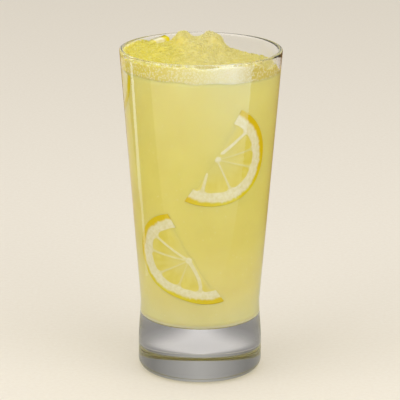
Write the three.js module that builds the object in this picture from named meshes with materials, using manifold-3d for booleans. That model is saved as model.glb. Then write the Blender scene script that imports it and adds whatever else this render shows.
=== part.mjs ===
// A tall heavy-based glass of iced lemonade: a tapered tumbler filled with cloudy lemonade,
// three half slices of lemon standing against the inside of its wall, and a heap of fine
// slush that rises above the rim. Millimetres, +Z up, the front of the glass towards -Y.
// The origin is the centre of the underside, on the surface that the glass stands on.

import * as THREE from "three";
import { mergeVertices } from "three/addons/utils/BufferGeometryUtils.js";
import Module from "manifold-3d";

const wasm = await Module();
wasm.setup();

// Sides of every round form. The pieces are nested, so they all have the same number.
const SIDES = 64;
// Clear space kept between two pieces that touch.
const GAP = 0.3;

// Tumbler, outside
const HEIGHT = 160;
const RIM_RADIUS = 39.1;
const LIP = 1.0; // radius of the rounded lip, which is half the wall there
const TAPER = 0.0802; // radius lost for each mm down the wall
const FLARE_TOP = 35; // the straight wall ends here and the heavy base begins
const FLARE_BOTTOM = 14; // the base is widest from here down
const BASE_RADIUS = 30.2;
const HEEL = 5; // radius of the rounding under the base
const FOOT_INNER = 22.8; // the foot ring is flat from here to the heel
const FOOT_ROUNDING = 1.2; // radius of the foot ring's inner edge
const RECESS = 1.5; // depth of the hollow inside the foot ring
const RECESS_SLOPE = 2.3; // width of the slope between the hollow and the foot ring

// Tumbler, inside
const BORE_RADIUS = 37.1; // at the lip
const BORE_TAPER = 0.0864;
const FLOOR_Z = 26.6;
const FLOOR_CORNER = 4.5;

const LIP_Z = HEIGHT - LIP;
const outerRadius = (z) => RIM_RADIUS - TAPER * (LIP_Z - z);
const boreRadius = (z) => BORE_RADIUS - BORE_TAPER * (LIP_Z - z);

// Level of the drink where it shows through the wall: a little lower to the right, with a
// few ripples at the front where the slush hangs into it.
const LEVEL_Z = 150.65;
const LEVEL_SLOPE = 0.8;
const RIPPLE = { height: 0.45, waves: 12, crest: 10.5, spread: 32 }; // crest, spread in degrees

// Slush: it fills the glass to just under the rim at the front and left, rises to a mound
// with rounded lumps behind the middle, and lies low at the back right and at the right of
// the front. At the back left it is hollowed round the end of a slice.
const SLUSH_BRIM_Z = 158.2;
const SLUSH_LOW = { drop: 6.6, towards: 42, from: 0.37, to: 0.6 }; // degrees from +X to +Y
const MOUND = { x: -2, y: 2, height: 7, spread: 16 };
const LEDGE = { from: 9.7, to: 12, front: -14, back: -3, share: 0.65 };
const LUMPS = [
  { x: -9.3, y: 2, height: 3.9, spread: 4.3 },
  { x: 6, y: 2, height: 3.6, spread: 5.2 },
  { x: -19, y: 28, height: -3.4, spread: 6 },
  { x: 32.5, y: -19, height: -3.2, spread: 5.5 },
];
const LUMP_STRETCH = 1.35; // the lumps are longer from front to back
const LUMP_FLATNESS = 3; // 2 gives a bell, and more gives a flatter top with steeper sides
const CLUMPS = [
  { size: 3.4, height: 0.7 },
  { size: 1.9, height: 0.45 },
];
const CLUMP_SEED = 17;
const SLUSH_EDGE = { from: 0.94, below: 0.6 }; // it stays this far below the lip at the wall
const SLUSH_RINGS = 21;

// Lemon: half slices bent along the inside of the wall. hub is where the segments meet, as
// an angle round the glass from the front and a height. turn is how far the cut edge is
// turned in the wall. oval lengthens the slice along one direction, and shift moves its
// outline off the hub, as segments aren't equally long. The membranes are angles from the
// cut edge, and the cut runs a little beyond the hub.
const SLICE_SIDES = 48; // the membranes are on these steps of 7.5 degrees
const SLICE_THICK = 4;
const SEGMENT_SUNK = 0.4; // the juicy segments lie below the pith and the membranes
const SEGMENT_START = 0.1;
const SEGMENT_END = 0.72;
const SLICES = [
  {
    name: "lemon_slice_right",
    hub: [13.8, 113.6],
    turn: 60,
    radius: 26.7,
    oval: { share: 0.06, towards: -71 },
    shift: { by: 3.05, towards: 81 },
    beyond: 2.2,
    membranes: [-22.5, -45, -75, -127.5, -172.5],
  },
  {
    name: "lemon_slice_left",
    hub: [-10.5, 62.8],
    turn: -60,
    radius: 26,
    oval: { share: 0.147, towards: -131 },
    shift: { by: 2.6, towards: 88 },
    beyond: 2.8,
    membranes: [-7.5, -52.5, -90, -127.5, -150],
  },
  {
    name: "lemon_slice_top",
    hub: [-108, 153.8],
    turn: -10,
    radius: 27.5,
    oval: { share: 0.06, towards: 0 },
    shift: { by: 0, towards: 0 },
    beyond: 1.0,
    membranes: [-30, -67.5, -105, -142.5],
  },
];

const radians = THREE.MathUtils.degToRad;
const smoothstep = THREE.MathUtils.smoothstep;

// Solids

function solidOf(geometry) {
  const plain = geometry.clone();
  plain.deleteAttribute("normal");
  plain.deleteAttribute("uv");
  const merged = mergeVertices(plain, 1e-4);
  const corners = merged.index.array;
  const triangles = [];
  for (let i = 0; i < corners.length; i += 3) {
    const [a, b, c] = [corners[i], corners[i + 1], corners[i + 2]];
    if (a !== b && b !== c && c !== a) triangles.push(a, b, c);
  }
  return new wasm.Manifold(
    new wasm.Mesh({
      numProp: 3,
      vertProperties: new Float32Array(merged.attributes.position.array),
      triVerts: new Uint32Array(triangles),
    }),
  );
}

function geometryOf(solid) {
  const mesh = solid.getMesh();
  const geometry = new THREE.BufferGeometry();
  geometry.setAttribute("position", new THREE.BufferAttribute(mesh.vertProperties, 3));
  geometry.setIndex(new THREE.BufferAttribute(mesh.triVerts, 1));
  geometry.computeVertexNormals();
  return geometry;
}

// Turns a profile of (radius, height) points round +Z.
function turned(profile, sides = SIDES) {
  return new THREE.LatheGeometry(profile, sides).rotateX(Math.PI / 2);
}

// Moves every vertex of a geometry to where place says.
function reshaped(geometry, place) {
  const position = geometry.attributes.position;
  const point = new THREE.Vector3();
  for (let i = 0; i < position.count; i++) {
    place(point.fromBufferAttribute(position, i), i);
    position.setXYZ(i, point.x, point.y, point.z);
  }
  return geometry;
}

// Profiles

const at = (radius, z) => new THREE.Vector2(Math.max(radius, 0), z);

// Points on an arc in the plane of a profile, angles in degrees from the outward direction.
function arc(centreRadius, centreZ, radius, from, to, steps) {
  const points = [];
  for (let i = 0; i <= steps; i++) {
    const angle = radians(from + ((to - from) * i) / steps);
    points.push(at(centreRadius + radius * Math.cos(angle), centreZ + radius * Math.sin(angle)));
  }
  return points;
}

// The heavy base swells smoothly from the end of the straight wall to its widest part.
function flare(steps) {
  const waist = outerRadius(FLARE_TOP);
  const points = [];
  for (let i = 0; i <= steps; i++) {
    const z = THREE.MathUtils.lerp(FLARE_BOTTOM, FLARE_TOP, i / steps);
    const share = (1 + Math.cos((Math.PI * i) / steps)) / 2;
    points.push(at(waist + (BASE_RADIUS - waist) * share, z));
  }
  return points;
}

// The inside of the glass, from the axis out over the floor and up to the given height,
// moved in from the glass by a clearance.
function borePoints(topZ, clearance) {
  const floorZ = FLOOR_Z + clearance;
  const cornerZ = floorZ + FLOOR_CORNER;
  const cornerRadius = boreRadius(cornerZ) - clearance - FLOOR_CORNER;
  return [
    at(0, floorZ),
    ...arc(cornerRadius, cornerZ, FLOOR_CORNER, -90, 0, 5),
    at(boreRadius(topZ) - clearance, topZ),
  ];
}

function tumbler() {
  const footOuter = BASE_RADIUS - HEEL;
  const profile = [
    at(0, RECESS),
    at(FOOT_INNER - FOOT_ROUNDING - RECESS_SLOPE, RECESS * 0.9),
    ...arc(FOOT_INNER - FOOT_ROUNDING, 0, FOOT_ROUNDING, 60, 0, 2),
    ...arc(footOuter, HEEL, HEEL, -90, 0, 6),
    ...flare(6),
    ...arc(RIM_RADIUS - LIP, LIP_Z, LIP, 0, 180, 6),
    ...borePoints(LIP_Z, 0).slice(0, -1).reverse(),
  ];
  return solidOf(turned(profile));
}

// Drink

function levelZ(x, y) {
  const fromFront = THREE.MathUtils.radToDeg(Math.atan2(x, -y));
  const outward = Math.min(Math.hypot(x, y) / boreRadius(LEVEL_Z), 1);
  const ripple =
    RIPPLE.height *
    Math.cos(radians(RIPPLE.waves * (fromFront - RIPPLE.crest))) *
    Math.exp(-((fromFront / RIPPLE.spread) ** 2));
  const slope = (LEVEL_SLOPE * x) / boreRadius(LEVEL_Z);
  return LEVEL_Z - slope + ripple * outward ** 3;
}

function lemonade() {
  const rings = 4;
  const wall = borePoints(LEVEL_Z, GAP);
  const profile = [...wall];
  for (let i = 1; i <= rings; i++) {
    profile.push(at((boreRadius(LEVEL_Z) - GAP) * (1 - i / rings), LEVEL_Z));
  }
  const drink = reshaped(turned(profile), (point, i) => {
    const station = i % profile.length;
    if (station < wall.length - 1) return;
    point.z = levelZ(point.x, point.y);
    if (station > wall.length - 1) return;
    point.multiply(rimScale(point, boreRadius(point.z) - GAP));
  });
  return solidOf(drink);
}

// The factor that brings a point to a given distance from the axis at the same height.
function rimScale(point, radius) {
  const share = radius / Math.hypot(point.x, point.y);
  return new THREE.Vector3(share, share, 1);
}

// Slush

// Smooth uneven height from -1 to 1, the same for every run.
function unevenness(x, y) {
  const value = (i, j) => {
    const wave = Math.sin(i * 127.1 + j * 311.7 + CLUMP_SEED) * 43758.5453;
    return wave - Math.floor(wave);
  };
  const [i, j] = [Math.floor(x), Math.floor(y)];
  const [u, v] = [smoothstep(x - i, 0, 1), smoothstep(y - j, 0, 1)];
  const near = THREE.MathUtils.lerp(value(i, j), value(i + 1, j), u);
  const far = THREE.MathUtils.lerp(value(i, j + 1), value(i + 1, j + 1), u);
  return THREE.MathUtils.lerp(near, far, v) * 2 - 1;
}

function slushZ(x, y) {
  const towards = radians(SLUSH_LOW.towards);
  const along = (x * Math.cos(towards) + y * Math.sin(towards)) / BORE_RADIUS;
  const low = smoothstep(along, SLUSH_LOW.from, SLUSH_LOW.to);
  const ledge = smoothstep(x, LEDGE.from, LEDGE.to) * smoothstep(y, LEDGE.front, LEDGE.back);
  const away = Math.hypot(x - MOUND.x, y - MOUND.y) / MOUND.spread;
  let z = SLUSH_BRIM_Z - SLUSH_LOW.drop * low;
  z += MOUND.height * Math.exp(-(away ** 2)) * (1 - LEDGE.share * (ledge + low * 0.9));
  for (const lump of LUMPS) {
    const off = Math.hypot(x - lump.x, (y - lump.y) / LUMP_STRETCH) / lump.spread;
    z += lump.height * Math.exp(-(off ** LUMP_FLATNESS));
  }
  for (const clump of CLUMPS) {
    z += clump.height * unevenness(x / clump.size, y / clump.size);
  }
  return z;
}

function slushHeap() {
  const floorRings = 4;
  const wallBands = 2;
  const profile = [];
  for (let i = 0; i <= floorRings; i++) profile.push(at(i / floorRings, 0));
  for (let i = 1; i < wallBands; i++) profile.push(at(1, i / wallBands));
  for (let i = 0; i <= SLUSH_RINGS; i++) profile.push(at(1 - i / SLUSH_RINGS, 1));
  const reach = boreRadius(SLUSH_BRIM_Z) - GAP;
  const heap = reshaped(turned(profile), (point) => {
    const outward = Math.hypot(point.x, point.y);
    const share = point.z;
    const [x, y] = [point.x * reach, point.y * reach];
    const bottom = levelZ(x, y) + GAP;
    const edge = smoothstep(outward, SLUSH_EDGE.from, 1);
    const highest = THREE.MathUtils.lerp(HEIGHT * 2, LIP_Z - SLUSH_EDGE.below, edge);
    const top = Math.min(slushZ(x, y), highest);
    point.z = THREE.MathUtils.lerp(bottom, top, share);
    const fit = (boreRadius(Math.min(point.z, LIP_Z)) - GAP) / reach;
    point.x = x * fit;
    point.y = y * fit;
  });
  return solidOf(heap);
}

// Lemon

// A disc is bent on to the wall, with its outer face towards the glass, and cut to a little
// more than a half. With room above 0 it is the space that the slice needs in the drink:
// larger all round, open to the wall and without the sunk segments.
function slice({ hub, turn, radius, oval, shift, beyond, membranes }, room = 0) {
  const backing = [0.34, 0.67, 1];
  const rings = room > 0 ? [0.5] : [0.86, SEGMENT_END, 0.58, 0.43, 0.27, SEGMENT_START];
  const facing = [1, ...rings];
  const outerFace = 4 * room;
  const innerFace = -SLICE_THICK - room;
  const profile = [
    at(0, innerFace),
    ...backing.map((share) => at(share * radius, innerFace)),
    ...facing.map((share) => at(share * radius, outerFace)),
    at(0, outerFace),
  ];
  const spin = radians(turn);
  const hubAngle = radians(hub[0]);
  const hubZ = hub[1];
  const disc = reshaped(turned(profile, SLICE_SIDES), (point) => {
    const share = Math.hypot(point.x, point.y) / radius;
    const angle = Math.atan2(point.y, point.x);
    const stretch = 1 + oval.share * Math.cos(2 * (angle - radians(oval.towards)));
    const shifted = shift.by * Math.cos(angle - radians(shift.towards));
    const out = share * (radius * stretch + shifted + room);
    const z = hubZ + out * Math.sin(angle + spin);
    const round = hubAngle + (out * Math.cos(angle + spin)) / boreRadius(z);
    const sunk = point.z === 0 && inSegment(share, angle, membranes) ? SEGMENT_SUNK : 0;
    const fromAxis = boreRadius(z) - GAP + point.z - sunk;
    point.set(fromAxis * Math.sin(round), -fromAxis * Math.cos(round), z);
  });

  const size = 4 * radius;
  const away = new THREE.BoxGeometry(size, size, size);
  away.translate(0, beyond + room + size / 2, 0);
  away.rotateZ(spin);
  const across = new THREE.Vector3(Math.cos(hubAngle), Math.sin(hubAngle), 0);
  const up = new THREE.Vector3(0, 0, 1);
  const outward = new THREE.Vector3().crossVectors(across, up);
  const place = new THREE.Matrix4().makeBasis(across, up, outward);
  place.setPosition(outward.clone().multiplyScalar(boreRadius(hubZ)).setZ(hubZ));
  away.applyMatrix4(place);
  return solidOf(disc).subtract(solidOf(away));
}

// Whether a place on the slice's face is juice sacs, and not hub, membrane or pith.
function inSegment(share, angle, membranes) {
  if (share < SEGMENT_START + 0.01 || share > SEGMENT_END + 0.01) return false;
  const halfStep = 180 / SLICE_SIDES;
  const degrees = THREE.MathUtils.radToDeg(angle);
  return membranes.every((membrane) => {
    const off = THREE.MathUtils.euclideanModulo(degrees - membrane + 180, 360) - 180;
    return Math.abs(off) > halfStep;
  });
}

// Model

const LOOKS = {
  glass: { color: 0xdfe6e4, roughness: 0.02, metalness: 0, transparent: true, opacity: 0.35 },
  lemonade: { color: 0xdacb6d, roughness: 0.15, metalness: 0 },
  slush: { color: 0xe3d98a, roughness: 0.5, metalness: 0 },
  lemon: { color: 0xd9bc14, roughness: 0.4, metalness: 0 },
};

const glassOfLemonade = new THREE.Group();

function addPiece(name, solid, look) {
  const mesh = new THREE.Mesh(geometryOf(solid), new THREE.MeshStandardMaterial(LOOKS[look]));
  mesh.name = name;
  glassOfLemonade.add(mesh);
}

let drink = lemonade();
let slush = slushHeap();
for (const form of SLICES) {
  const space = slice(form, GAP);
  drink = drink.subtract(space);
  slush = slush.subtract(space);
}

addPiece("tumbler", tumbler(), "glass");
addPiece("lemonade", drink, "lemonade");
addPiece("slush_heap", slush, "slush");
for (const form of SLICES) addPiece(form.name, slice(form), "lemon");

export default glassOfLemonade;
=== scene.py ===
"""A tall glass of iced lemonade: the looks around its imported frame.

The tumbler, the drink, the heap of slush and the lemon slices are made again here as fine
meshes, with the form and place of the solids that they stand for. Metres, +Z up, the front
of the glass towards -Y, the origin at the centre of its underside.
"""

import math

import bmesh
import bpy
import numpy as np
from mathutils import Matrix, Vector


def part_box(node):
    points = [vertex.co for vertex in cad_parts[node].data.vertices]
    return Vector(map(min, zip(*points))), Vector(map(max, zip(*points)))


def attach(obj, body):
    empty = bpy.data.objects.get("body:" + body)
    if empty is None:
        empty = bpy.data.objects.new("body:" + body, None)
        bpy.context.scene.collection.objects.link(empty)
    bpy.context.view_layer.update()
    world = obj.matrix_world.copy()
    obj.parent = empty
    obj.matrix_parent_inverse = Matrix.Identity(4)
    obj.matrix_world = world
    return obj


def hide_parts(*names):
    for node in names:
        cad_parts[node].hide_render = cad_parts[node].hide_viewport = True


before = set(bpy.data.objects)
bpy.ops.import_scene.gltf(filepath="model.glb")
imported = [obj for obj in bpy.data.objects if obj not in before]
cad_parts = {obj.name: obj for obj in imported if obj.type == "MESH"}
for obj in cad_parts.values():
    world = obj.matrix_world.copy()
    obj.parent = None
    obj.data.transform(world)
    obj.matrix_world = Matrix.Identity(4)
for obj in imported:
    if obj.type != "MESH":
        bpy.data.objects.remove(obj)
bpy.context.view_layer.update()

MM = 0.001

# Tumbler, outside, in millimetres as everything up to the stage
RIM_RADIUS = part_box("tumbler")[1].x / MM
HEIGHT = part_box("tumbler")[1].z / MM
LIP = 1.0
TAPER = 0.0802
FLARE_TOP = 35.0
FLARE_BOTTOM = 14.0
BASE_RADIUS = 30.2
HEEL = 5.0
FOOT_INNER = 22.8
FOOT_ROUND = 1.2
RECESS = 1.5
RECESS_EDGE = 3.5
TUMBLER_STEPS = 256

# Tumbler, inside
BORE_RADIUS = RIM_RADIUS - 2 * LIP
BORE_TAPER = 0.0864
FLOOR_Z = 26.6
FLOOR_CORNER = 4.5
LIP_Z = HEIGHT - LIP

# How far each piece that fills the glass reaches into the wall, so that no air shows
DRINK_REACH = 0.22
SLUSH_REACH = 0.12
SLICE_REACH = 0.55

# The level of the drink: lower to the right, with ripples at the front
LEVEL_Z = 150.65
LEVEL_SLOPE = 0.8
RIPPLE_HEIGHT, RIPPLE_WAVES, RIPPLE_CREST, RIPPLE_SPREAD = 0.45, 12, 10.5, 32.0
DRINK_STEPS = 192

# The slush, as in the solids, with finer relief on top
BRIM_Z = 158.2
BELOW_LEVEL = 1.5
BELOW_LIP = 0.6
LOW_DROP, LOW_TOWARDS, LOW_FROM, LOW_TO = 6.6, 42.0, 0.37, 0.6
MOUND_X, MOUND_Y, MOUND_HEIGHT, MOUND_SPREAD = -2.0, 2.0, 7.0, 16.0
LEDGE_FROM, LEDGE_TO, LEDGE_FRONT, LEDGE_BACK, LEDGE_SHARE = 9.7, 12.0, -14.0, -3.0, 0.65
LUMPS = [(-9.3, 2, 3.9, 4.3), (6, 2, 3.6, 5.2), (-19, 28, -3.4, 6), (32.5, -19, -3.2, 5.5)]
LUMP_STRETCH, LUMP_FLATNESS = 1.35, 3
CLUMPS = [(3.4, 0.7), (1.9, 0.45)]
FINE_CLUMPS = [(1.1, 0.1), (0.6, 0.06)]
CLUMP_SEED = 17
SLUSH_STEPS = 416

# A film of slush that clings to the wall at the back left, a little over the start of the
# lip: from which share of the radius, how far over it, and between which angles from the front
CLING_FROM, CLING_FULL, CLING_ABOVE = 0.93, 0.99, 0.35
CLING_ANGLES = (-72, -84, -128, -136)

# Loose grains: half sizes, how uneven each is, and how far out they lie
GRAIN_SEED = 21
GRAIN_COUNT = 6500
GRAIN_SIZES = (0.18, 0.42)
GRAIN_STRETCH = (0.7, 1.25)
GRAIN_UNEVEN = 0.18
GRAIN_REACH = 0.985

# Half slices of lemon: hub angle from the front and height, turn of the cut edge, radius,
# share and direction of the oval, how far and which way the outline is shifted from the
# hub, how far the cut is beyond the hub, and the side on which the rind is thickest and most
# golden. golden is how golden it gets there, veiled is how far the cloudy drink hides the
# flesh, and film is how far it hides all but the rind below the level.
# A membrane has an angle from the cut edge, how it veers near the hub and curls away from
# it, its width at the hub and at the pith, how clearly it shows and where it starts.
SLICE_THICK = 4.0
HUB_RADIUS = 1.3
FLESH_SHARE = 0.715
SEGMENT_CORNER = 2.2
RIND_THICK, RIND_THICKER = 1.5, 1.3
SLICE_STEPS = 480
SLICES = {
    "lemon_slice_right": dict(
        hub=(13.8, 113.6), turn=60, radius=26.7, oval=(0.06, -71), shift=(3.05, 81),
        beyond=2.2, thickest=-35, golden=1.0, veiled=1.0, film=0.0, seed=3,
        membranes=[(-22, 2.6, 0, 1.7, 1.1, 1.0, 0.14), (-49, 0, 0, 0.4, 0.6, 0.25, 0),
                   (-78, 0, 0, 0.4, 0.6, 0.3, 0), (-126, -1, 0, 0.6, 0.8, 0.6, 0),
                   (-163, -7.6, 0, 0.8, 1.5, 0.8, 0.33)]),
    "lemon_slice_left": dict(
        hub=(-10.5, 62.8), turn=-60, radius=26.0, oval=(0.147, -131), shift=(2.6, 88),
        beyond=2.8, thickest=-160, golden=0.8, veiled=1.0, film=0.0, seed=8,
        membranes=[(0, 0, -24, 1.7, 1.2, 0.85, 0), (-50, 0, 0, 0.4, 0.5, 0.2, 0),
                   (-91, 0, 0, 0.5, 0.7, 0.35, 0), (-128, 0, 0, 0.8, 0.9, 0.5, 0),
                   (-152, 0, 0, 1.0, 1.0, 0.8, 0)]),
    "lemon_slice_top": dict(
        hub=(-108, 153.8), turn=-10, radius=27.5, oval=(0.06, 0), shift=(0, 0),
        beyond=1.0, thickest=-30, golden=0.3, veiled=0.3, film=0.6, seed=5,
        membranes=[(-30, 0, 0, 1.0, 0.8, 0.7, 0), (-66, 0, 0, 0.8, 0.8, 0.7, 0),
                   (-103, 0, 0, 0.8, 0.8, 0.7, 0), (-141, 0, 0, 1.0, 0.8, 0.7, 0)]),
}

# Stage, in metres
PAPER_RADIUS = 6.0
AIM_Z = 0.09
CARD_Z = 0.001

# Camera, as worked out from the rim, the foot and the sides: metres, degrees, millimetres
CAMERA_PLACE = (-0.0002, -1.1546, 0.4061)
CAMERA_DOWN, CAMERA_ROLL = 15.56, 0.24
CAMERA_LENS, CAMERA_SENSOR = 221.8, 36


# Small tools


def smoothstep(x, low, high):
    t = np.clip((np.asarray(x, float) - low) / (high - low), 0, 1)
    return t * t * (3 - 2 * t)


def linear(code):
    """An sRGB hex colour as linear red, green, blue and 1."""
    values = [int(code[i:i + 2], 16) / 255 for i in (1, 3, 5)]
    return [v / 12.92 if v <= 0.04045 else ((v + 0.055) / 1.055) ** 2.4 for v in values] + [1]


def add_node(tree, kind, inputs=None, stops=None, **properties):
    """Adds a shader node with its properties. inputs are values or links, by the name or number
    of the input. stops are a ramp's, as (place, colour code) or as (place, share of white)."""
    node = tree.nodes.new("ShaderNode" + kind)
    for key, value in properties.items():
        setattr(node, key, value)
    for key, value in (inputs or {}).items():
        if isinstance(value, bpy.types.NodeSocket):
            tree.links.new(value, node.inputs[key])
        else:
            node.inputs[key].default_value = value
    if stops:
        elements = node.color_ramp.elements
        while len(elements) < len(stops):
            elements.new(0.5)
        for element, (place, value) in zip(elements, stops):
            element.position = place
            element.color = linear(value) if isinstance(value, str) else (value, value, value, 1)
    return node


def new_material(name):
    material = bpy.data.materials.new(name)
    material.use_nodes = True
    material.node_tree.nodes.clear()
    return material, material.node_tree


def as_piece(bm, name, material, node):
    """Turns a bmesh in millimetres into the smooth piece that stands for a CAD node."""
    bmesh.ops.scale(bm, vec=(MM, MM, MM), verts=bm.verts)
    mesh = bpy.data.meshes.new(name)
    bm.to_mesh(mesh)
    bm.free()
    mesh.shade_smooth()
    piece = bpy.data.objects.new(name, mesh)
    bpy.context.scene.collection.objects.link(piece)
    mesh.materials.append(material)
    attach(piece, "root")
    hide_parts(node)


def turned(profile, steps):
    """Spins a profile of (radius, height) points round the axis into a closed form: an eighth
    of the turn in small steps, which is then doubled three times."""
    bm = bmesh.new()
    verts = [bm.verts.new((radius, 0, z)) for radius, z in profile]
    edges = [bm.edges.new(pair) for pair in zip(verts, verts[1:])]
    bmesh.ops.spin(bm, geom=verts + edges, cent=(0, 0, 0), axis=(0, 0, 1),
                   angle=math.pi / 4, steps=steps // 8)
    for turn in (math.pi / 4, math.pi / 2, math.pi):
        double = bmesh.ops.duplicate(bm, geom=bm.verts[:] + bm.edges[:] + bm.faces[:])
        copied = [item for item in double["geom"] if isinstance(item, bmesh.types.BMVert)]
        bmesh.ops.rotate(bm, verts=copied, cent=(0, 0, 0), matrix=Matrix.Rotation(turn, 3, "Z"))
    bmesh.ops.remove_doubles(bm, verts=bm.verts, dist=1e-5)
    bmesh.ops.recalc_face_normals(bm, faces=bm.faces)
    return bm


def reshape(bm, place):
    """Moves all vertices to where place puts an array of points."""
    points = np.array([v.co for v in bm.verts], float)
    for vert, point in zip(bm.verts, place(points)):
        vert.co = point


# Forms


def outer_radius(z):
    return RIM_RADIUS - TAPER * (LIP_Z - z)


def bore_radius(z):
    return BORE_RADIUS - BORE_TAPER * (LIP_Z - z)


def arc(centre_radius, centre_z, radius, start, end, steps):
    angles = np.radians(np.linspace(start, end, steps + 1))
    return [(centre_radius + radius * math.cos(a), centre_z + radius * math.sin(a)) for a in angles]


def run(start, end, steps):
    """Points on a straight stretch, without its two ends."""
    shares = np.linspace(0, 1, steps + 1)[1:-1]
    return [tuple(np.array(start) * (1 - s) + np.array(end) * s) for s in shares]


def flare(steps):
    """From the heavy base, which swells out, up to the waist under the wall."""
    waist = outer_radius(FLARE_TOP)
    swell = BASE_RADIUS - waist
    shares = np.linspace(0, 1, steps + 1)
    return [(waist + swell * (1 + math.cos(math.pi * s)) / 2,
             FLARE_BOTTOM + (FLARE_TOP - FLARE_BOTTOM) * s) for s in shares]


def bore_profile(top_z, reach):
    """The inside of the glass from the axis to top_z, moved out into the glass by reach."""
    floor_z = FLOOR_Z - reach
    corner_z = floor_z + FLOOR_CORNER
    corner_radius = bore_radius(corner_z) + reach - FLOOR_CORNER
    top = (bore_radius(top_z) + reach, top_z)
    corner = arc(corner_radius, corner_z, FLOOR_CORNER, -90, 0, 12)
    return [(0, floor_z), *run((0, floor_z), corner[0], 8), *corner, *run(corner[-1], top, 60), top]


def level_z(x, y):
    front = np.degrees(np.arctan2(x, -y))
    outward = np.minimum(np.hypot(x, y) / bore_radius(LEVEL_Z), 1)
    ripple = np.cos(np.radians(RIPPLE_WAVES * (front - RIPPLE_CREST)))
    ripple = RIPPLE_HEIGHT * ripple * np.exp(-((front / RIPPLE_SPREAD) ** 2))
    return LEVEL_Z - LEVEL_SLOPE * x / bore_radius(LEVEL_Z) + ripple * outward ** 3


def unevenness(x, y):
    """Smooth uneven height from -1 to 1, the same for every run."""
    def value(i, j):
        wave = np.sin(i * 127.1 + j * 311.7 + CLUMP_SEED) * 43758.5453
        return wave - np.floor(wave)
    i, j = np.floor(x), np.floor(y)
    u, v = smoothstep(x - i, 0, 1), smoothstep(y - j, 0, 1)
    near = value(i, j) * (1 - u) + value(i + 1, j) * u
    far = value(i, j + 1) * (1 - u) + value(i + 1, j + 1) * u
    return (near * (1 - v) + far * v) * 2 - 1


def slush_z(x, y):
    """The top of the slush: a mound with a ledge and a low side, lumps, hollows and clumps."""
    towards = math.radians(LOW_TOWARDS)
    along = (x * math.cos(towards) + y * math.sin(towards)) / BORE_RADIUS
    low = smoothstep(along, LOW_FROM, LOW_TO)
    ledge = smoothstep(x, LEDGE_FROM, LEDGE_TO) * smoothstep(y, LEDGE_FRONT, LEDGE_BACK)
    away = np.hypot(x - MOUND_X, y - MOUND_Y) / MOUND_SPREAD
    z = BRIM_Z - LOW_DROP * low
    z = z + MOUND_HEIGHT * np.exp(-away ** 2) * (1 - LEDGE_SHARE * (ledge + low * 0.9))
    for lump_x, lump_y, height, spread in LUMPS:
        off = np.hypot(x - lump_x, (y - lump_y) / LUMP_STRETCH) / spread
        z = z + height * np.exp(-off ** LUMP_FLATNESS)
    for size, height in CLUMPS + FINE_CLUMPS:
        z = z + height * unevenness(x / size, y / size)
    return z


# Materials


def soda_lime_glass():
    """Pressed soda-lime glass, fire polished: clear and a neutral grey where it is thick, a
    hard mirror gloss, and a very slight waviness. Shadow rays pass, as light does."""
    material, tree = new_material("soda_lime_glass_fire_polished")
    place = add_node(tree, "TexCoord").outputs["Object"]
    waves = add_node(tree, "TexNoise", {"Vector": place, "Scale": 1 / (20 * MM), "Detail": 1.0})
    bump = add_node(tree, "Bump", {
        "Height": waves.outputs["Fac"], "Strength": 0.05, "Distance": 0.3 * MM})
    glass = add_node(tree, "BsdfPrincipled", {
        "Base Color": linear("#fcfcfc"), "Roughness": 0.0, "IOR": 1.52, "Transmission Weight": 1.0,
        "Normal": bump.outputs["Normal"]})
    clear = add_node(tree, "BsdfTransparent", {"Color": linear("#f4f5f4")})
    path = add_node(tree, "LightPath")
    shown = add_node(tree, "MixShader", {
        0: path.outputs["Is Shadow Ray"], 1: glass.outputs[0], 2: clear.outputs[0]})
    tint = add_node(tree, "VolumeAbsorption", {"Color": linear("#c6c7c7"), "Density": 12.0})
    add_node(tree, "OutputMaterial", {"Surface": shown.outputs[0], "Volume": tint.outputs[0]})
    return material


def off_axis(tree, place):
    """Distance from the axis of the glass."""
    flat = add_node(tree, "VectorMath", {0: place, 1: (1, 1, 0)}, operation="MULTIPLY")
    return add_node(tree, "VectorMath", {0: flat.outputs[0]}, operation="LENGTH").outputs["Value"]


def drink_colour(tree, place):
    """The cloudy yellow of the drink: paler near the floor of the glass, where painted light also
    makes it lighter. Round its lower corner a bright line is a painted highlight, and an olive line
    under it is painted shade."""
    height = add_node(tree, "SeparateXYZ", {0: place}).outputs["Z"]
    share = add_node(tree, "MapRange", {0: height, 1: FLOOR_Z * MM, 2: LEVEL_Z * MM})
    # painted light: the yellow is lighter and paler towards the floor of the glass
    yellow_with_painted_lift = add_node(tree, "ValToRGB", {0: share.outputs[0]}, stops=[
        (0.05, "#e8e1a0"), (0.16, "#eadf8f"), (0.35, "#e8de7e"), (0.65, "#e7de7e"), (1.0, "#e8e08e")])
    drift = add_node(tree, "TexNoise", {"Vector": place, "Scale": 1 / (22 * MM), "Detail": 3.0})
    cloud = add_node(tree, "ValToRGB", {0: drift.outputs["Fac"]}, stops=[
        (0.3, "#ffffff"), (0.7, "#f6f2e6")])
    body = add_node(tree, "Mix", {0: 0.6, 6: yellow_with_painted_lift.outputs[0], 7: cloud.outputs[0]},
                    data_type="RGBA", blend_type="MULTIPLY")
    # painted highlight and painted shade: a bright line round the lower corner, olive under it
    corner = add_node(tree, "MapRange", {
        0: height, 1: FLOOR_Z * MM, 2: (FLOOR_Z + FLOOR_CORNER) * MM}).outputs[0]
    line = add_node(tree, "ValToRGB", {0: corner}, stops=[
        (0.02, "#b5a95a"), (0.12, "#c2b868"), (0.2, "#fbf7d2"), (0.36, "#f6f0c0"), (0.6, "#e6dc92")])
    shown = add_node(tree, "MapRange", {0: corner, 1: 0.5, 2: 0.7, 3: 1.0, 4: 0.0})
    return add_node(tree, "Mix", {0: shown.outputs[0], 6: body.outputs[2], 7: line.outputs[0]},
                    data_type="RGBA").outputs[2]


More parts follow.
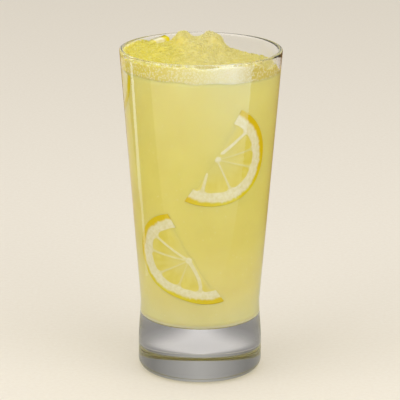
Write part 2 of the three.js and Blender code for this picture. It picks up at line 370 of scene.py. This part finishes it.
def painted_floor_glow(tree, place):
    """Painted light, given off as emission by the drink itself, for light that has come down
    through it: a bright line where it would gather round the lower corner, and a glow from under
    the middle of the floor, on which it fades outwards. Its strength and its colour."""
    height = add_node(tree, "SeparateXYZ", {0: place}).outputs["Z"]
    up = add_node(tree, "MapRange", {0: height, 1: FLOOR_Z * MM, 2: (FLOOR_Z + 10) * MM})
    line = add_node(tree, "ValToRGB", {0: up.outputs[0]}, stops=[
        (0.0, 1.0), (0.02, 0.9), (0.08, 1.0), (0.15, 0.55), (0.3, 0.125), (0.5, 0.0)])
    share = add_node(tree, "MapRange", {0: off_axis(tree, place), 1: 0, 2: 30 * MM}).outputs[0]
    fade = add_node(tree, "ValToRGB", {0: share}, stops=[
        (0.0, 1.0), (0.3, 0.8), (0.7, 0.15), (0.88, 0.1), (0.92, 1.0)])
    glow = add_node(tree, "Math", {0: line.outputs[0], 1: fade.outputs[0]}, operation="MULTIPLY")
    glow = add_node(tree, "Math", {0: glow.outputs[0], 1: 0.42}, operation="MULTIPLY")
    colour = add_node(tree, "ValToRGB", {0: share}, stops=[(0.7, "#f4dc50"), (0.9, "#fbf0c0")])
    return glow.outputs[0], colour.outputs[0]


def cloudy_lemonade():
    """Pressed lemon juice in water: pulp so fine that it is a pale yellow cloud, which light
    enters a few millimetres deep. Behind glass its own surface has no gloss, and the shadow
    that it casts is yellow, because some light gets through."""
    material, tree = new_material("cloudy_lemon_juice")
    place = add_node(tree, "TexCoord").outputs["Object"]
    pulp = add_node(tree, "TexVoronoi", {"Vector": place, "Scale": 1 / (3.1 * MM)})
    flecks = add_node(tree, "MapRange", {
        0: pulp.outputs["Distance"], 1: 0.13, 2: 0.07, 3: 0.0, 4: 0.3})
    colour = add_node(tree, "Mix", {
        0: flecks.outputs[0], 6: drink_colour(tree, place), 7: linear("#f3eec4")}, data_type="RGBA")
    # painted light: the drink's floor glows by emission, though it is no lamp
    glow, painted_glow_colour = painted_floor_glow(tree, place)
    skin = add_node(tree, "BsdfPrincipled", {
        "Base Color": colour.outputs[2], "Roughness": 0.6, "Specular IOR Level": 0.0, "IOR": 1.34,
        "Subsurface Weight": 0.6, "Subsurface Radius": (1.0, 0.85, 0.4), "Subsurface Scale": 4 * MM,
        "Emission Strength": glow, "Emission Color": painted_glow_colour})
    through = add_node(tree, "BsdfTransparent", {"Color": linear("#c3ba7c")})
    path = add_node(tree, "LightPath")
    shown = add_node(tree, "MixShader", {
        0: path.outputs["Is Shadow Ray"], 1: skin.outputs[0], 2: through.outputs[0]})
    add_node(tree, "OutputMaterial", {"Surface": shown.outputs[0]})
    return material


def across(tree, place):
    """Share of the way over the slush from left to right."""
    side = add_node(tree, "SeparateXYZ", {0: place}).outputs["X"]
    return add_node(tree, "MapRange", {0: side, 1: -30 * MM, 2: 30 * MM}).outputs[0]


def slush_colour(tree, place):
    """Slush is a deeper yellow where more of the drink is in it, to the left, and greyer and
    paler on the drained peaks."""
    soaked = add_node(tree, "ValToRGB", {0: across(tree, place)}, stops=[
        (0.1, "#e3d55a"), (0.27, "#e3d566"), (0.42, "#e1d580"), (0.58, "#dfd386"),
        (0.8, "#dbce78"), (1.0, "#d9cc72")])
    height = add_node(tree, "SeparateXYZ", {0: place}).outputs["Z"]
    peak = add_node(tree, "MapRange", {0: height, 1: 162 * MM, 2: 166.5 * MM, 4: 0.45})
    return add_node(tree, "Mix", {0: peak.outputs[0], 6: soaked.outputs[0], 7: linear("#d8cd8e")},
                    data_type="RGBA").outputs[2]


def wet_slush():
    """Finely crushed ice soaked in lemonade: a wet snow, smooth where it has melted together.
    Pressed against the glass its grains show whiter, about a millimetre across, and there it is
    paler, with a painted reflection of a soft lamp: palest a little right of the middle and darker
    beyond it."""
    material, tree = new_material("lemon_ice_slush_wet")
    place = add_node(tree, "TexCoord").outputs["Object"]
    grains = add_node(tree, "TexVoronoi", {"Vector": place, "Scale": 1 / (1.0 * MM)})
    clumps = add_node(tree, "TexNoise", {
        "Vector": place, "Scale": 1 / (7 * MM), "Detail": 4.0, "Roughness": 0.6})
    melt = add_node(tree, "ValToRGB", {0: clumps.outputs["Fac"]}, stops=[
        (0.3, "#f2efd2"), (0.5, "#fbf9ee"), (0.72, "#ffffff")])
    base = add_node(tree, "Mix", {0: 1.0, 6: slush_colour(tree, place), 7: melt.outputs[0]},
                    data_type="RGBA", blend_type="MULTIPLY")
    # paler against the glass, with a painted reflection: palest right of the middle, darker beyond it
    pressed_with_painted_reflection = add_node(tree, "ValToRGB", {0: across(tree, place)}, stops=[
        (0.15, "#e2d464"), (0.5, "#e8e09e"), (0.75, "#efe9c2"), (0.9, "#d8c868")])
    at_wall = add_node(tree, "MapRange", {0: off_axis(tree, place), 1: 35.7 * MM, 2: 36.1 * MM}).outputs[0]
    base = add_node(tree, "Mix", {0: at_wall, 6: base.outputs[2], 7: pressed_with_painted_reflection.outputs[0]},
                    data_type="RGBA")
    whiteness = add_node(tree, "MapRange", {0: at_wall, 3: 0.12, 4: 0.8})
    patches = add_node(tree, "MapRange", {
        0: grains.outputs["Distance"], 1: 0.62, 2: 0.1, 3: 0.0, 4: 1.0})
    white = add_node(tree, "Math", {0: patches.outputs[0], 1: whiteness.outputs[0]}, operation="MULTIPLY")
    colour = add_node(tree, "Mix", {0: white.outputs[0], 6: base.outputs[2], 7: linear("#f3efd4")},
                      data_type="RGBA")
    bump = add_node(tree, "Bump", {
        "Height": grains.outputs["Distance"], "Strength": 0.15, "Distance": 0.2 * MM})
    snow = add_node(tree, "BsdfPrincipled", {
        "Base Color": colour.outputs[2], "Roughness": 0.4, "IOR": 1.31, "Specular IOR Level": 0.2,
        "Subsurface Weight": 0.8, "Subsurface Radius": (1.0, 0.9, 0.5), "Subsurface Scale": 3 * MM,
        "Normal": bump.outputs["Normal"]})
    add_node(tree, "OutputMaterial", {"Surface": snow.outputs[0]})
    return material


def lemon_fruit():
    """Cut lemon: oily yellow rind, dry white pith, and wet pale segments of juice sacs. The
    cloudy drink veils what lies deeper. Where each is comes from the slice's own attributes."""
    material, tree = new_material("cut_lemon_wet")
    place = add_node(tree, "TexCoord").outputs["Object"]
    read = {name: add_node(tree, "Attribute", attribute_name=name).outputs["Fac"]
            for name in ("rind", "golden", "flesh", "veil", "streak")}
    mottle = add_node(tree, "TexNoise", {"Vector": place, "Scale": 1 / (1.6 * MM), "Detail": 3.0})
    pith = add_node(tree, "ValToRGB", {0: mottle.outputs["Fac"]}, stops=[
        (0.35, "#ece5b8"), (0.65, "#f6f1d4")])
    sacs = add_node(tree, "ValToRGB", {0: read["streak"]}, stops=[(0.0, "#e6d652"), (1.0, "#ecdf70")])
    skin = add_node(tree, "ValToRGB", {0: read["golden"]}, stops=[
        (0.0, "#e6da34"), (0.5, "#e5d010"), (1.0, "#e4c604")])
    colour = pith.outputs[0]
    for share, over in ((read["flesh"], sacs.outputs[0]), (read["rind"], skin.outputs[0]),
                        (read["veil"], drink_colour(tree, place))):
        colour = add_node(tree, "Mix", {0: share, 6: colour, 7: over}, data_type="RGBA").outputs[2]
    fruit = add_node(tree, "BsdfPrincipled", {
        "Base Color": colour, "Roughness": 0.5, "Specular IOR Level": 0.1, "IOR": 1.4})
    add_node(tree, "OutputMaterial", {"Surface": fruit.outputs[0]})
    return material


def ice_grain():
    """Loose grains of ice wetted by the drink: small, rounded and pale, with wet glints."""
    material, tree = new_material("ice_grains_wet")
    tone = add_node(tree, "Attribute", attribute_name="tone").outputs["Fac"]
    place = add_node(tree, "TexCoord").outputs["Object"]
    paler = add_node(tree, "ValToRGB", {0: tone}, stops=[
        (0.0, "#000000"), (0.7, "#202020"), (1.0, "#a0a0a0")])
    colour = add_node(tree, "Mix", {
        0: paler.outputs[0], 6: slush_colour(tree, place), 7: linear("#efe9bc")}, data_type="RGBA")
    ice = add_node(tree, "BsdfPrincipled", {
        "Base Color": colour.outputs[2], "Roughness": 0.3, "IOR": 1.31, "Specular IOR Level": 0.35,
        "Subsurface Weight": 0.4, "Subsurface Radius": (1.0, 0.9, 0.5), "Subsurface Scale": 1.0 * MM})
    add_node(tree, "OutputMaterial", {"Surface": ice.outputs[0]})
    return material


# Pieces


def make_tumbler(material):
    foot_lip = arc(FOOT_INNER - FOOT_ROUND, 0, FOOT_ROUND, 75, 0, 5)
    recess_edge = (FOOT_INNER - RECESS_EDGE, RECESS * 0.9)
    heel = arc(BASE_RADIUS - HEEL, HEEL, HEEL, -90, 0, 14)
    lip = arc(RIM_RADIUS - LIP, LIP_Z, LIP, 0, 180, 16)
    swell = flare(22)
    bore = bore_profile(LIP_Z, 0)[:-1][::-1]
    profile = [
        (0, RECESS), *run((0, RECESS), recess_edge, 8), recess_edge,
        *foot_lip, *run(foot_lip[-1], heel[0], 3),
        *heel, *run(heel[-1], swell[0], 6),
        *swell, *run(swell[-1], lip[0], 50),
        *lip, *bore,
    ]
    as_piece(turned(profile, TUMBLER_STEPS), "clear_tumbler", material, "tumbler")


def make_lemonade(material):
    wall = bore_profile(LEVEL_Z, DRINK_REACH)
    top = run(wall[-1], (0, LEVEL_Z), 10)
    bm = turned([*wall, *top, (0, LEVEL_Z)], DRINK_STEPS)

    def place(points):
        x, y, z = points.T
        surface = z > LEVEL_Z - 0.01
        return np.stack([x, y, np.where(surface, level_z(x, y), z)], axis=1)

    reshape(bm, place)
    as_piece(bm, "cloudy_lemonade", material, "lemonade")


def slush_place(points):
    """From (share of the radius, share of the height) to the slush's form."""
    outward = np.hypot(points[:, 0], points[:, 1])
    reach = bore_radius(BRIM_Z) + SLUSH_REACH
    x, y, share = points[:, 0] * reach, points[:, 1] * reach, points[:, 2]
    bottom = level_z(x, y) - BELOW_LEVEL
    edge = smoothstep(outward, 0.94, 1)
    top = np.minimum(slush_z(x, y), 2 * HEIGHT * (1 - edge) + (LIP_Z - BELOW_LIP) * edge)
    front = np.degrees(np.arctan2(x, -y))
    cling = smoothstep(-front, -CLING_ANGLES[0], -CLING_ANGLES[1])
    cling = cling * (1 - smoothstep(-front, -CLING_ANGLES[2], -CLING_ANGLES[3]))
    cling = cling * smoothstep(outward, CLING_FROM, CLING_FULL)
    top = top * (1 - cling) + np.maximum(top, LIP_Z + CLING_ABOVE) * cling
    z = bottom * (1 - share) + top * share
    fit = (bore_radius(np.minimum(z, LIP_Z)) + SLUSH_REACH) / reach
    return np.stack([x * fit, y * fit, z], axis=1)


def make_slush(material):
    side = run((1, 0), (1, 1), 12)
    profile = [(0, 0), *run((0, 0), (1, 0), 8), (1, 0), *side, (1, 1), *run((1, 1), (0, 1), 84), (0, 1)]
    bm = turned(profile, SLUSH_STEPS)
    reshape(bm, slush_place)
    as_piece(bm, "slush_core", material, "slush_heap")


def make_grains(material):
    """Grains of ice over the slush, every one a rounded lump turned its own way, half sunk."""
    rng = np.random.default_rng(GRAIN_SEED)
    bm = bmesh.new()
    bmesh.ops.create_icosphere(bm, subdivisions=1, radius=1)
    lump = np.array([v.co for v in bm.verts])
    faces = np.array([[v.index for v in f.verts] for f in bm.faces])
    bm.free()

    angle = rng.uniform(0, 2 * np.pi, GRAIN_COUNT)
    outward = np.sqrt(rng.uniform(0, 1, GRAIN_COUNT)) * GRAIN_REACH
    points = np.stack([outward * np.cos(angle), outward * np.sin(angle), np.ones(GRAIN_COUNT)], axis=1)
    centres = slush_place(points)
    sizes = rng.uniform(*GRAIN_SIZES, GRAIN_COUNT)[:, None] * rng.uniform(*GRAIN_STRETCH, (GRAIN_COUNT, 3))
    uneven = 1 + rng.uniform(-GRAIN_UNEVEN, GRAIN_UNEVEN, (GRAIN_COUNT, len(lump), 1))
    verts = lump[None] * uneven * sizes[:, None]
    turn, tilt = rng.uniform(0, 2 * np.pi, (2, GRAIN_COUNT, 1))
    x, y, z = verts[..., 0], verts[..., 1], verts[..., 2]
    x, y = x * np.cos(turn) - y * np.sin(turn), x * np.sin(turn) + y * np.cos(turn)
    y, z = y * np.cos(tilt) - z * np.sin(tilt), y * np.sin(tilt) + z * np.cos(tilt)
    verts = np.stack([x, y, z], axis=2) + centres[:, None]

    mesh = bpy.data.meshes.new("ice_grains")
    every = faces[None] + (np.arange(GRAIN_COUNT) * len(lump))[:, None, None]
    mesh.from_pydata((verts.reshape(-1, 3) * MM).tolist(), [], every.reshape(-1, 3).tolist())
    tone = np.repeat(rng.uniform(0, 1, GRAIN_COUNT) ** 1.6, len(lump))
    mesh.attributes.new("tone", "FLOAT", "POINT").data.foreach_set("value", tone.astype(np.float32))
    mesh.shade_smooth()
    mesh.materials.append(material)
    piece = bpy.data.objects.new("ice_grains", mesh)
    bpy.context.scene.collection.objects.link(piece)
    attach(piece, "root")


def slice_edge(form, angle):
    """Distance from the hub to the outline, in the direction of an angle in degrees."""
    oval, oval_towards = form["oval"]
    shift, shift_towards = form["shift"]
    longer = 1 + oval * np.cos(2 * np.radians(angle - oval_towards))
    return form["radius"] * longer + shift * np.cos(np.radians(angle - shift_towards))


def membrane_gap(membrane, angle, share, edge):
    """How far places are from the side of a membrane, in millimetres."""
    towards, veer, curl, hub_width, pith_width, _, start = membrane
    centre = towards + veer / np.maximum(share, 0.05) + curl * share ** 2
    off = np.radians((angle - centre + 180) % 360 - 180)
    apart = np.where(np.abs(off) < np.pi / 2, np.abs(np.sin(off)), 1) * share * edge
    out = np.clip(share / FLESH_SHARE, 0, 1)
    half = (hub_width * (1 - out) + pith_width * out) / 2
    return apart - half + np.maximum(start - share, 0) * edge


def slice_masks(share, angle, form):
    """What a place on the slice is, from its share of the way from the hub to the outline
    and its angle in degrees: rind, golden rind, flesh, veil and streaks from 0 to 1, and
    how far the place is sunk, in millimetres."""
    edge = slice_edge(form, angle)
    from_hub = share * edge
    from_rim = edge - from_hub
    from_cut = form["beyond"] - from_hub * np.sin(np.radians(angle))
    seed = form["seed"]
    ragged = unevenness(np.radians(angle) * 22 + seed, from_hub / 2.5)
    lumpy = unevenness(np.radians(angle) * 6 + seed, from_hub / 4)

    thick = np.cos(np.radians(angle - form["thickest"])) ** 2
    rind_edge = RIND_THICK + RIND_THICKER * thick + 0.4 * ragged + 0.2 * lumpy
    rind = 1 - smoothstep(from_rim, rind_edge - 0.5, rind_edge + 1.0)
    golden = form["golden"] * np.clip(0.15 + thick + lumpy * 0.25, 0, 1)

    near, shown = np.full(len(share), 1e3), np.zeros(len(share))
    for membrane in form["membranes"]:
        gap = membrane_gap(membrane, angle, share, edge)
        shown = np.where(gap < near, membrane[5], shown)
        near = np.minimum(near, gap)
    inside = [FLESH_SHARE * edge + 0.25 * lumpy - from_hub, from_hub - HUB_RADIUS, near]
    depth_in = SEGMENT_CORNER - np.sqrt(sum(np.maximum(SEGMENT_CORNER - d, 0) ** 2 for d in inside))
    flesh = smoothstep(depth_in, -0.15, 0.35)

    in_pith = smoothstep(share, FLESH_SHARE - 0.06, FLESH_SHARE + 0.01)
    deep = 1 - 0.85 * smoothstep(share, 0.12, 0.6) * smoothstep(from_cut, 1.0, 4.5)
    thread = shown * (1 - smoothstep(near, -0.1, 0.35)) * smoothstep(from_cut, 0.2, 1.2)
    hub = 1 - smoothstep(from_hub, HUB_RADIUS * 0.8, HUB_RADIUS * 1.5)
    clear = np.maximum.reduce([in_pith, thread, hub, flesh * (1 - deep)])
    veil = 0.05 * (1 - rind) + 0.95 * form["veiled"] * (1 - clear)
    streak = 0.5 + 0.5 * unevenness(np.radians(angle) * 9 + seed, from_hub / 2.6)
    sunk = 0.15 * smoothstep(depth_in, 0.0, 0.9)
    sunk = sunk + 0.5 * (1 - in_pith) * (1 - smoothstep(from_cut, 0.0, 2.5))
    return {"rind": rind, "golden": golden, "flesh": flesh, "veil": veil, "streak": streak}, sunk


def make_slice(name, form, material):
    """A flat disc is bent on to the wall and cut to a little more than a half."""
    profile = [(share, -SLICE_THICK) for share in np.linspace(0, 1, 40)]
    profile += run((1, -SLICE_THICK), (1, 0), 8)
    profile += [(share, 0) for share in np.linspace(1, 0, 90)]
    bm = turned(profile, SLICE_STEPS)
    flat = np.array([v.co for v in bm.verts], float)
    shares = np.hypot(flat[:, 0], flat[:, 1])
    angles = np.degrees(np.arctan2(flat[:, 1], flat[:, 0]))
    masks, sunk = slice_masks(shares, angles, form)
    hub_angle, hub_z = math.radians(form["hub"][0]), form["hub"][1]
    spin = math.radians(form["turn"])
    out = shares * slice_edge(form, angles)
    towards = np.radians(angles) + spin
    heights = hub_z + out * np.sin(towards)
    below = 1 - smoothstep(heights, LEVEL_Z - 6, LEVEL_Z + 2)
    masks["veil"] = np.maximum(masks["veil"], form["film"] * (1 - masks["rind"]) * below)
    for key, mask in masks.items():
        layer = bm.verts.layers.float.new(key)
        for vert, value in zip(bm.verts, mask):
            vert[layer] = value

    def place(points):
        inward = points[:, 2]
        round_axis = hub_angle + out * np.cos(towards) / bore_radius(heights)
        relief = sunk * np.where(inward > -SLICE_THICK / 2, -1, 1)
        from_axis = bore_radius(heights) + SLICE_REACH + inward + relief
        return np.stack([from_axis * np.sin(round_axis), -from_axis * np.cos(round_axis), heights], axis=1)

    reshape(bm, place)
    outward = Vector((math.sin(hub_angle), -math.cos(hub_angle), 0))
    normal = Matrix.Rotation(spin, 3, outward) @ Vector((0, 0, 1))
    on_cut = outward * bore_radius(hub_z) + Vector((0, 0, hub_z)) + normal * form["beyond"]
    cut = bmesh.ops.bisect_plane(bm, geom=bm.verts[:] + bm.edges[:] + bm.faces[:], dist=1e-6,
                                 plane_co=on_cut, plane_no=normal, clear_outer=True)
    rim = [e for e in cut["geom_cut"] if isinstance(e, bmesh.types.BMEdge)]
    filled = bmesh.ops.contextual_create(bm, geom=rim)
    bmesh.ops.triangulate(bm, faces=filled["faces"])
    bmesh.ops.recalc_face_normals(bm, faces=bm.faces)
    as_piece(bm, name + "_cut", material, name)


# Stage


def seen_through(tree, path):
    """1 for what is seen straight through the glass, 0 for the light that falls on the drink."""
    direct = add_node(tree, "MapRange", {
        0: path.outputs["Diffuse Depth"], 1: 0, 2: 1, 3: 1.0, 4: 0.0})
    return add_node(tree, "Math", {0: path.outputs["Is Transmission Ray"], 1: direct.outputs[0]},
                    operation="MULTIPLY").outputs[0]


def base_shade(tree, place):
    """Painted shade on the paper close behind the foot, as the heavy base shows it: grey to
    both sides, and a little darker near the foot."""
    at = add_node(tree, "SeparateXYZ", {0: place})
    side = add_node(tree, "Math", {0: at.outputs["X"]}, operation="ABSOLUTE")
    side = add_node(tree, "MapRange", {0: side.outputs[0], 1: 0, 2: 20 * MM})
    # painted shade: grey to both sides of the foot
    grey = add_node(tree, "ValToRGB", {0: side.outputs[0]}, stops=[
        (0.06, "#fbf9fd"), (0.14, "#ebe9ec"), (0.21, "#dad8dc"), (0.31, "#c2c0c4"),
        (0.45, "#aeadb1"), (0.7, "#9a999d")])
    # painted shade: a little darker near the foot
    low = add_node(tree, "MapRange", {0: at.outputs["Y"], 1: 34 * MM, 2: 44 * MM, 3: 0.14, 4: 0.0})
    return add_node(tree, "Mix", {0: low.outputs[0], 6: grey.outputs[0], 7: linear("#000000")},
                    data_type="RGBA").outputs[2]


def make_floor():
    """A wide sheet of matt paper, pale and warm. Mirrored in the glass it is painted darker and
    tan, a painted reflection that keeps the wall's thin bright edges. Close behind the foot it has
    painted shade, but only as it shows through the glass."""
    material, tree = new_material("matt_studio_paper")
    place = add_node(tree, "TexCoord").outputs["Object"]
    fibre = add_node(tree, "TexNoise", {"Vector": place, "Scale": 1 / (2 * MM), "Detail": 2.0})
    plain = add_node(tree, "ValToRGB", {0: fibre.outputs["Fac"]}, stops=[
        (0.3, "#e9e2d6"), (0.7, "#ece6db")])
    path = add_node(tree, "LightPath")
    # painted reflection: what the glass mirrors of the paper is darker and tan
    mirrored = add_node(tree, "Math", {
        0: path.outputs["Is Glossy Ray"], 1: path.outputs["Is Reflection Ray"]}, operation="MULTIPLY")
    away = add_node(tree, "VectorMath", {0: place}, operation="LENGTH").outputs["Value"]
    share = add_node(tree, "MapRange", {0: away, 1: 0.14, 2: 0.26})
    painted_table_reflection = add_node(tree, "ValToRGB", {0: share.outputs[0]}, stops=[
        (0.0, "#cfcabc"), (1.0, "#a07c48")])
    colour = add_node(tree, "Mix", {
        0: mirrored.outputs[0], 6: plain.outputs[0], 7: painted_table_reflection.outputs[0]}, data_type="RGBA")
    # painted shade, only close behind the foot and only as seen through the glass
    close = add_node(tree, "MapRange", {0: away, 1: 0.11, 2: 0.15, 3: 1.0, 4: 0.0})
    back = add_node(tree, "SeparateXYZ", {0: place}).outputs["Y"]
    behind = add_node(tree, "MapRange", {0: back, 1: 25 * MM, 2: 35 * MM})
    painted_shade_share = seen_through(tree, path)
    for share in (close, behind):
        painted_shade_share = add_node(tree, "Math", {0: painted_shade_share, 1: share.outputs[0]}, operation="MULTIPLY").outputs[0]
    colour = add_node(tree, "Mix", {0: painted_shade_share, 6: colour.outputs[2], 7: base_shade(tree, place)},
                      data_type="RGBA")
    paper = add_node(tree, "BsdfPrincipled", {
        "Base Color": colour.outputs[2], "Roughness": 0.9, "Specular IOR Level": 0.2})
    add_node(tree, "OutputMaterial", {"Surface": paper.outputs[0]})
    bm = bmesh.new()
    bmesh.ops.create_circle(bm, cap_ends=True, radius=PAPER_RADIUS, segments=64)
    mesh = bpy.data.meshes.new("studio_floor")
    bm.to_mesh(mesh)
    bm.free()
    mesh.materials.append(material)
    floor = bpy.data.objects.new("studio_floor", mesh)
    bpy.context.scene.collection.objects.link(floor)


def add_lamp(name, place, turn, width, height, radiance):
    """A rectangular soft lamp that the camera doesn't see."""
    data = bpy.data.lights.new(name, "AREA")
    data.shape = "RECTANGLE"
    data.size, data.size_y = width, height
    data.energy = radiance * math.pi * width * height
    lamp = bpy.data.objects.new(name, data)
    bpy.context.scene.collection.objects.link(lamp)
    lamp.location = place
    lamp.rotation_mode = "QUATERNION"
    lamp.rotation_quaternion = turn
    lamp.visible_camera = False
    return lamp


def add_softbox(name, azimuth, elevation, distance, width, height, radiance):
    """A softbox aimed at the glass. Azimuth 0 stands at the front, and 90 at the right."""
    a, e = math.radians(azimuth), math.radians(elevation)
    away = Vector((math.sin(a) * math.cos(e), -math.cos(a) * math.cos(e), math.sin(e)))
    add_lamp(name, Vector((0, 0, AIM_Z)) + away * distance, away.to_track_quat("Z", "Y"),
             width, height, radiance)


def add_card(name, azimuth, near, far, width, by_distance, by_side):
    """A card of light that lies on the floor, from near to far, and only shows mirrored, with
    stops of (metres from the glass, radiance) and of (metres to the right, colour code)."""
    a = math.radians(azimuth)
    middle = (near + far) / 2
    turn = Matrix.Rotation(a, 3, "Z") @ Matrix.Rotation(math.pi, 3, "X")
    card = add_lamp(name, (middle * math.sin(a), -middle * math.cos(a), CARD_Z), turn.to_quaternion(),
                    width, far - near, 1.0)
    card.visible_diffuse = False
    card.visible_transmission = False
    card.data.use_nodes = True
    tree = card.data.node_tree
    place = add_node(tree, "NewGeometry").outputs["Position"]
    away = add_node(tree, "VectorMath", {0: place}, operation="LENGTH").outputs["Value"]
    side = add_node(tree, "SeparateXYZ", {0: place}).outputs["X"]
    most = max(radiance for _, radiance in by_distance)
    levels = [(at, radiance / most) for at, radiance in by_distance]
    shades = []
    for source, stops in ((away, levels), (side, by_side)):
        low, high = stops[0][0], stops[-1][0]
        share = add_node(tree, "MapRange", {0: source, 1: low, 2: high}).outputs[0]
        stops = [((at - low) / (high - low), value) for at, value in stops]
        shades.append(add_node(tree, "ValToRGB", {0: share}, stops=stops).outputs[0])
    level = add_node(tree, "Math", {0: shades[0], 1: most}, operation="MULTIPLY")
    emission = tree.nodes["Emission"]
    tree.links.new(level.outputs[0], emission.inputs["Strength"])
    tree.links.new(shades[1], emission.inputs["Color"])


def make_lights():
    """Soft lamps at both sides and overhead, and cards that the wall mirrors: a veil of light
    on the front and a streak at the left."""
    add_softbox("fill_right", 48, 28, 1.5, 1.5, 1.0, 1.9)
    add_softbox("fill_left", -58, 28, 1.5, 1.5, 1.0, 1.88)
    add_softbox("overhead", 0, 78, 1.3, 1.4, 1.4, 0.3)
    add_card("card_front", 0, 0.11, 0.70, 1.2,
             [(0.12, 0.0), (0.2, 0.5), (0.28, 1.2), (0.36, 2.1), (0.45, 3.0), (0.55, 3.2)],
             [(-0.50, "#7a756c"), (-0.25, "#aeb0b8"), (0.0, "#bcccdc"), (0.2, "#b0d4ff"), (0.5, "#a8ccff")])
    add_card("card_edge_left", -147, 0.10, 0.65, 0.26,
             [(0.1, 0.0), (0.2, 0.15), (0.3, 0.45), (0.65, 0.6)], [(-0.6, "#e8ecf2"), (0.0, "#e8ecf2")])
    add_card("card_strip_left", -115, 0.14, 0.60, 0.055,
             [(0.14, 1.0), (0.3, 1.6), (0.6, 3.0)], [(-0.6, "#cfe2ff"), (0.0, "#cfe2ff")])


def make_world():
    """Pale even light all round, dimmer where it comes through the glass, and to the sides of
    what is seen straight through it."""
    world = bpy.data.worlds.new("studio")
    bpy.context.scene.world = world
    world.use_nodes = True
    tree = world.node_tree
    path = add_node(tree, "LightPath")
    dimmed = add_node(tree, "MapRange", {0: path.outputs["Is Transmission Ray"], 3: 0.8, 4: 0.42})
    towards = add_node(tree, "TexCoord").outputs["Generated"]
    side = add_node(tree, "SeparateXYZ", {0: towards}).outputs["X"]
    side = add_node(tree, "Math", {0: side}, operation="ABSOLUTE")
    darker = add_node(tree, "MapRange", {0: side.outputs[0], 1: 0.05, 2: 0.6, 3: 0.6, 4: 0.26})
    strength = add_node(tree, "Mix", {
        0: seen_through(tree, path), 2: dimmed.outputs[0], 3: darker.outputs[0]}, data_type="FLOAT")
    sky = tree.nodes["Background"]
    sky.inputs["Color"].default_value = linear("#f2efe9")
    tree.links.new(strength.outputs[0], sky.inputs["Strength"])


def make_camera():
    data = bpy.data.cameras.new("camera")
    data.lens = CAMERA_LENS
    data.sensor_width = CAMERA_SENSOR
    camera = bpy.data.objects.new("camera", data)
    bpy.context.scene.collection.objects.link(camera)
    down = Matrix.Rotation(math.radians(90 - CAMERA_DOWN), 4, "X")
    roll = Matrix.Rotation(math.radians(CAMERA_ROLL), 4, "Z")
    camera.matrix_world = Matrix.Translation(CAMERA_PLACE) @ down @ roll
    bpy.context.scene.camera = camera


make_camera()
make_lights()
make_world()
make_floor()
make_tumbler(soda_lime_glass())
make_lemonade(cloudy_lemonade())
make_slush(wet_slush())
make_grains(ice_grain())
lemon = lemon_fruit()
for slice_name, slice_form in SLICES.items():
    make_slice(slice_name, slice_form, lemon)

bpy.context.scene.view_settings.view_transform = "Standard"
bpy.context.scene.cycles.use_denoising = True
